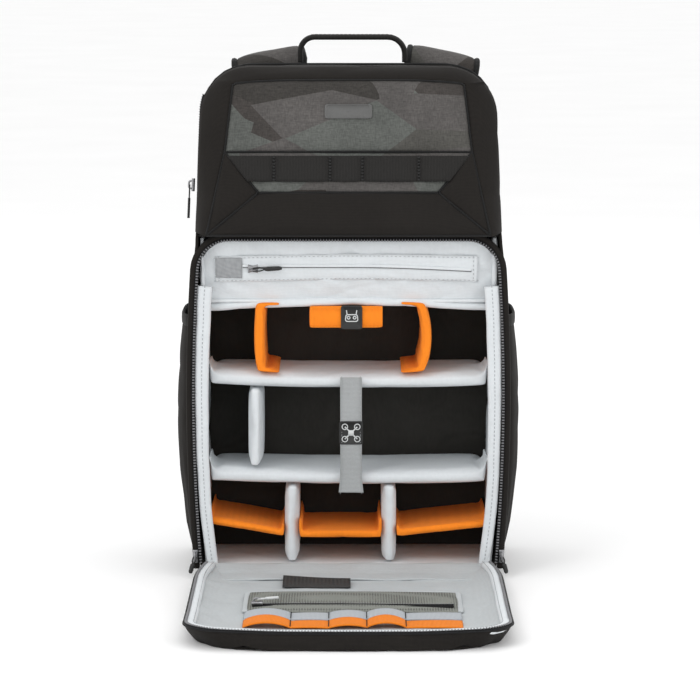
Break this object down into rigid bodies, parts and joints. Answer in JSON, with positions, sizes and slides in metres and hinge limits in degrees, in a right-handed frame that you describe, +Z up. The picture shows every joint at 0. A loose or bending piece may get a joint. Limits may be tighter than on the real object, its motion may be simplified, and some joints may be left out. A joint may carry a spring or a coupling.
{
  "type": "drone backpack case",
  "caption": "Upright backpack case for a folding drone, with a front door that folds down, padded shelves and dividers, strap, flap, organizer, side pockets, handle and shoulder straps.",
  "frame": {"origin": "middle of the bag's base, on the floor", "axes": "+Z up, -Y out of the open front, +X to the right seen from the front"},
  "size_m": [0.3146, 0.5051, 0.502],
  "materials": {
    "shell_fabric": "woven charcoal nylon",
    "print_fabric": "charcoal nylon with a faceted grey print",
    "liner_fabric": "light grey brushed lining",
    "door_lining": "light grey brushed lining",
    "dark_lining": "charcoal lining",
    "orange_fabric": "orange padded nylon",
    "grey_webbing": "grey webbing",
    "black_webbing": "black webbing",
    "mesh_fabric": "olive grey mesh",
    "air_mesh": "padded spacer mesh",
    "zip_coil": "coil zip on woven tape",
    "zip_metal": "zip slider with cord pull",
    "black_plastic": "moulded acetal",
    "badge": "moulded badge",
    "silver_fabric": "silver coated patch",
    "plain_patch": "plain rubber patch"
  },
  "bodies": {
    "bag": {"back_board": "shell_fabric", "back_pads": "air_mesh", "base_panel": "shell_fabric", "daisy_chain": "black_webbing", "front_patch": "plain_patch", "liner_floor": "liner_fabric", "liner_left": "liner_fabric", "liner_pocket": "liner_fabric", "liner_pocket_patch": "silver_fabric", "liner_pocket_zip": "zip_coil", "liner_rear_wall": "dark_lining", "liner_right": "liner_fabric", "lower_webbings": "black_webbing", "main_zip_body": "zip_coil", "rim_binding": "liner_fabric", "shelf_lower": "liner_fabric", "shelf_upper": "liner_fabric", "shoulder_strap_left": "print_fabric", "shoulder_strap_right": "print_fabric", "side_panel_left": "shell_fabric", "side_panel_right": "shell_fabric", "side_pocket_left": "shell_fabric", "side_pocket_right": "shell_fabric", "side_zip": "zip_coil", "top_liner_panel": "liner_fabric", "top_panel": "shell_fabric", "upper_front_panel": "print_fabric"},
    "door": {"door_panel": "shell_fabric", "door_wall": "shell_fabric", "door_liner": "door_lining", "door_binding": "door_lining", "main_zip_door": "zip_coil", "door_hinge_strip": "door_lining", "mesh_pocket": "mesh_fabric", "mesh_pocket_zip": "zip_coil", "elastic_band_grey": "grey_webbing", "elastic_band_orange": "orange_fabric", "hook_strip": "black_webbing"},
    "main_slider_left": {"main_slider_left": "zip_metal"},
    "main_slider_right": {"main_slider_right": "zip_metal"},
    "liner_pocket_slider": {"liner_pocket_slider": "zip_metal"},
    "mesh_pocket_slider": {"mesh_pocket_slider": "zip_metal"},
    "side_slider": {"side_slider": "zip_metal"},
    "drone_strap": {"drone_strap": "grey_webbing", "drone_strap_badge": "badge"},
    "controller_flap": {"controller_flap": "orange_fabric", "controller_flap_badge": "badge"},
    "top_handle": {"top_handle": "shell_fabric"},
    "sternum_strap": {"sternum_webbing": "black_webbing", "sternum_buckle_male": "black_plastic", "sternum_buckle_female": "black_plastic"},
    "lower_divider_left": {"lower_divider_left": "liner_fabric"},
    "lower_divider_right": {"lower_divider_right": "liner_fabric"},
    "middle_divider": {"middle_divider": "liner_fabric"},
    "controller_divider_left": {"controller_divider_left": "orange_fabric"},
    "controller_divider_right": {"controller_divider_right": "orange_fabric"},
    "battery_divider_left": {"battery_divider_left": "orange_fabric"},
    "battery_divider_middle": {"battery_divider_middle": "orange_fabric"},
    "battery_divider_right": {"battery_divider_right": "orange_fabric"}
  },
  "joints": [
    {"name": "door_hinge", "type": "hinge", "parent": "bag", "child": "door", "pos_m": [0, -0.076, 0.017], "axis": [-1, 0, 0], "range_deg": [0, 90]},
    {"name": "main_slider_left_run", "type": "slide", "parent": "bag", "child": "main_slider_left", "axis": [0, 0, 1], "range_m": [0, 0.262]},
    {"name": "main_slider_right_run", "type": "slide", "parent": "bag", "child": "main_slider_right", "axis": [0, 0, 1], "range_m": [0, 0.262]},
    {"name": "liner_pocket_slider_run", "type": "slide", "parent": "bag", "child": "liner_pocket_slider", "axis": [1, 0, 0], "range_m": [0, 0.17]},
    {"name": "mesh_pocket_slider_run", "type": "slide", "parent": "door", "child": "mesh_pocket_slider", "axis": [1, 0, 0], "range_m": [0, 0.155]},
    {"name": "side_slider_run", "type": "slide", "parent": "bag", "child": "side_slider", "axis": [0.0341, 0, 0.9994], "range_m": [-0.01, 0.075]},
    {"name": "drone_strap_swing", "type": "hinge", "parent": "bag", "child": "drone_strap", "pos_m": [0.0025, -0.0684, 0.187], "axis": [1, 0, 0], "range_deg": [-110, 0]},
    {"name": "controller_flap_swing", "type": "hinge", "parent": "bag", "child": "controller_flap", "pos_m": [-0.0025, -0.062, 0.2572], "axis": [1, 0, 0], "range_deg": [-85, 0]},
    {"name": "top_handle_fold", "type": "hinge", "parent": "bag", "child": "top_handle", "pos_m": [0.004, 0.058, 0.484], "axis": [1, 0, 0], "range_deg": [-75, 75]},
    {"name": "sternum_strap_height", "type": "slide", "parent": "bag", "child": "sternum_strap", "axis": [0, 0, 1], "range_m": [-0.04, 0.04]},
    {"name": "lower_divider_left_pull", "type": "slide", "parent": "bag", "child": "lower_divider_left", "axis": [0, 1, 0], "range_m": [-0.115, 0]},
    {"name": "lower_divider_right_pull", "type": "slide", "parent": "bag", "child": "lower_divider_right", "axis": [0, 1, 0], "range_m": [-0.115, 0]},
    {"name": "middle_divider_pull", "type": "slide", "parent": "bag", "child": "middle_divider", "axis": [0, 1, 0], "range_m": [-0.115, 0]},
    {"name": "controller_divider_left_pull", "type": "slide", "parent": "bag", "child": "controller_divider_left", "axis": [0, 1, 0], "range_m": [-0.115, 0]},
    {"name": "controller_divider_right_pull", "type": "slide", "parent": "bag", "child": "controller_divider_right", "axis": [0, 1, 0], "range_m": [-0.115, 0]},
    {"name": "battery_divider_left_pull", "type": "slide", "parent": "bag", "child": "battery_divider_left", "axis": [0, 1, 0], "range_m": [-0.115, 0]},
    {"name": "battery_divider_middle_pull", "type": "slide", "parent": "bag", "child": "battery_divider_middle", "axis": [0, 1, 0], "range_m": [-0.115, 0]},
    {"name": "battery_divider_right_pull", "type": "slide", "parent": "bag", "child": "battery_divider_right", "axis": [0, 1, 0], "range_m": [-0.115, 0]}
  ]
}
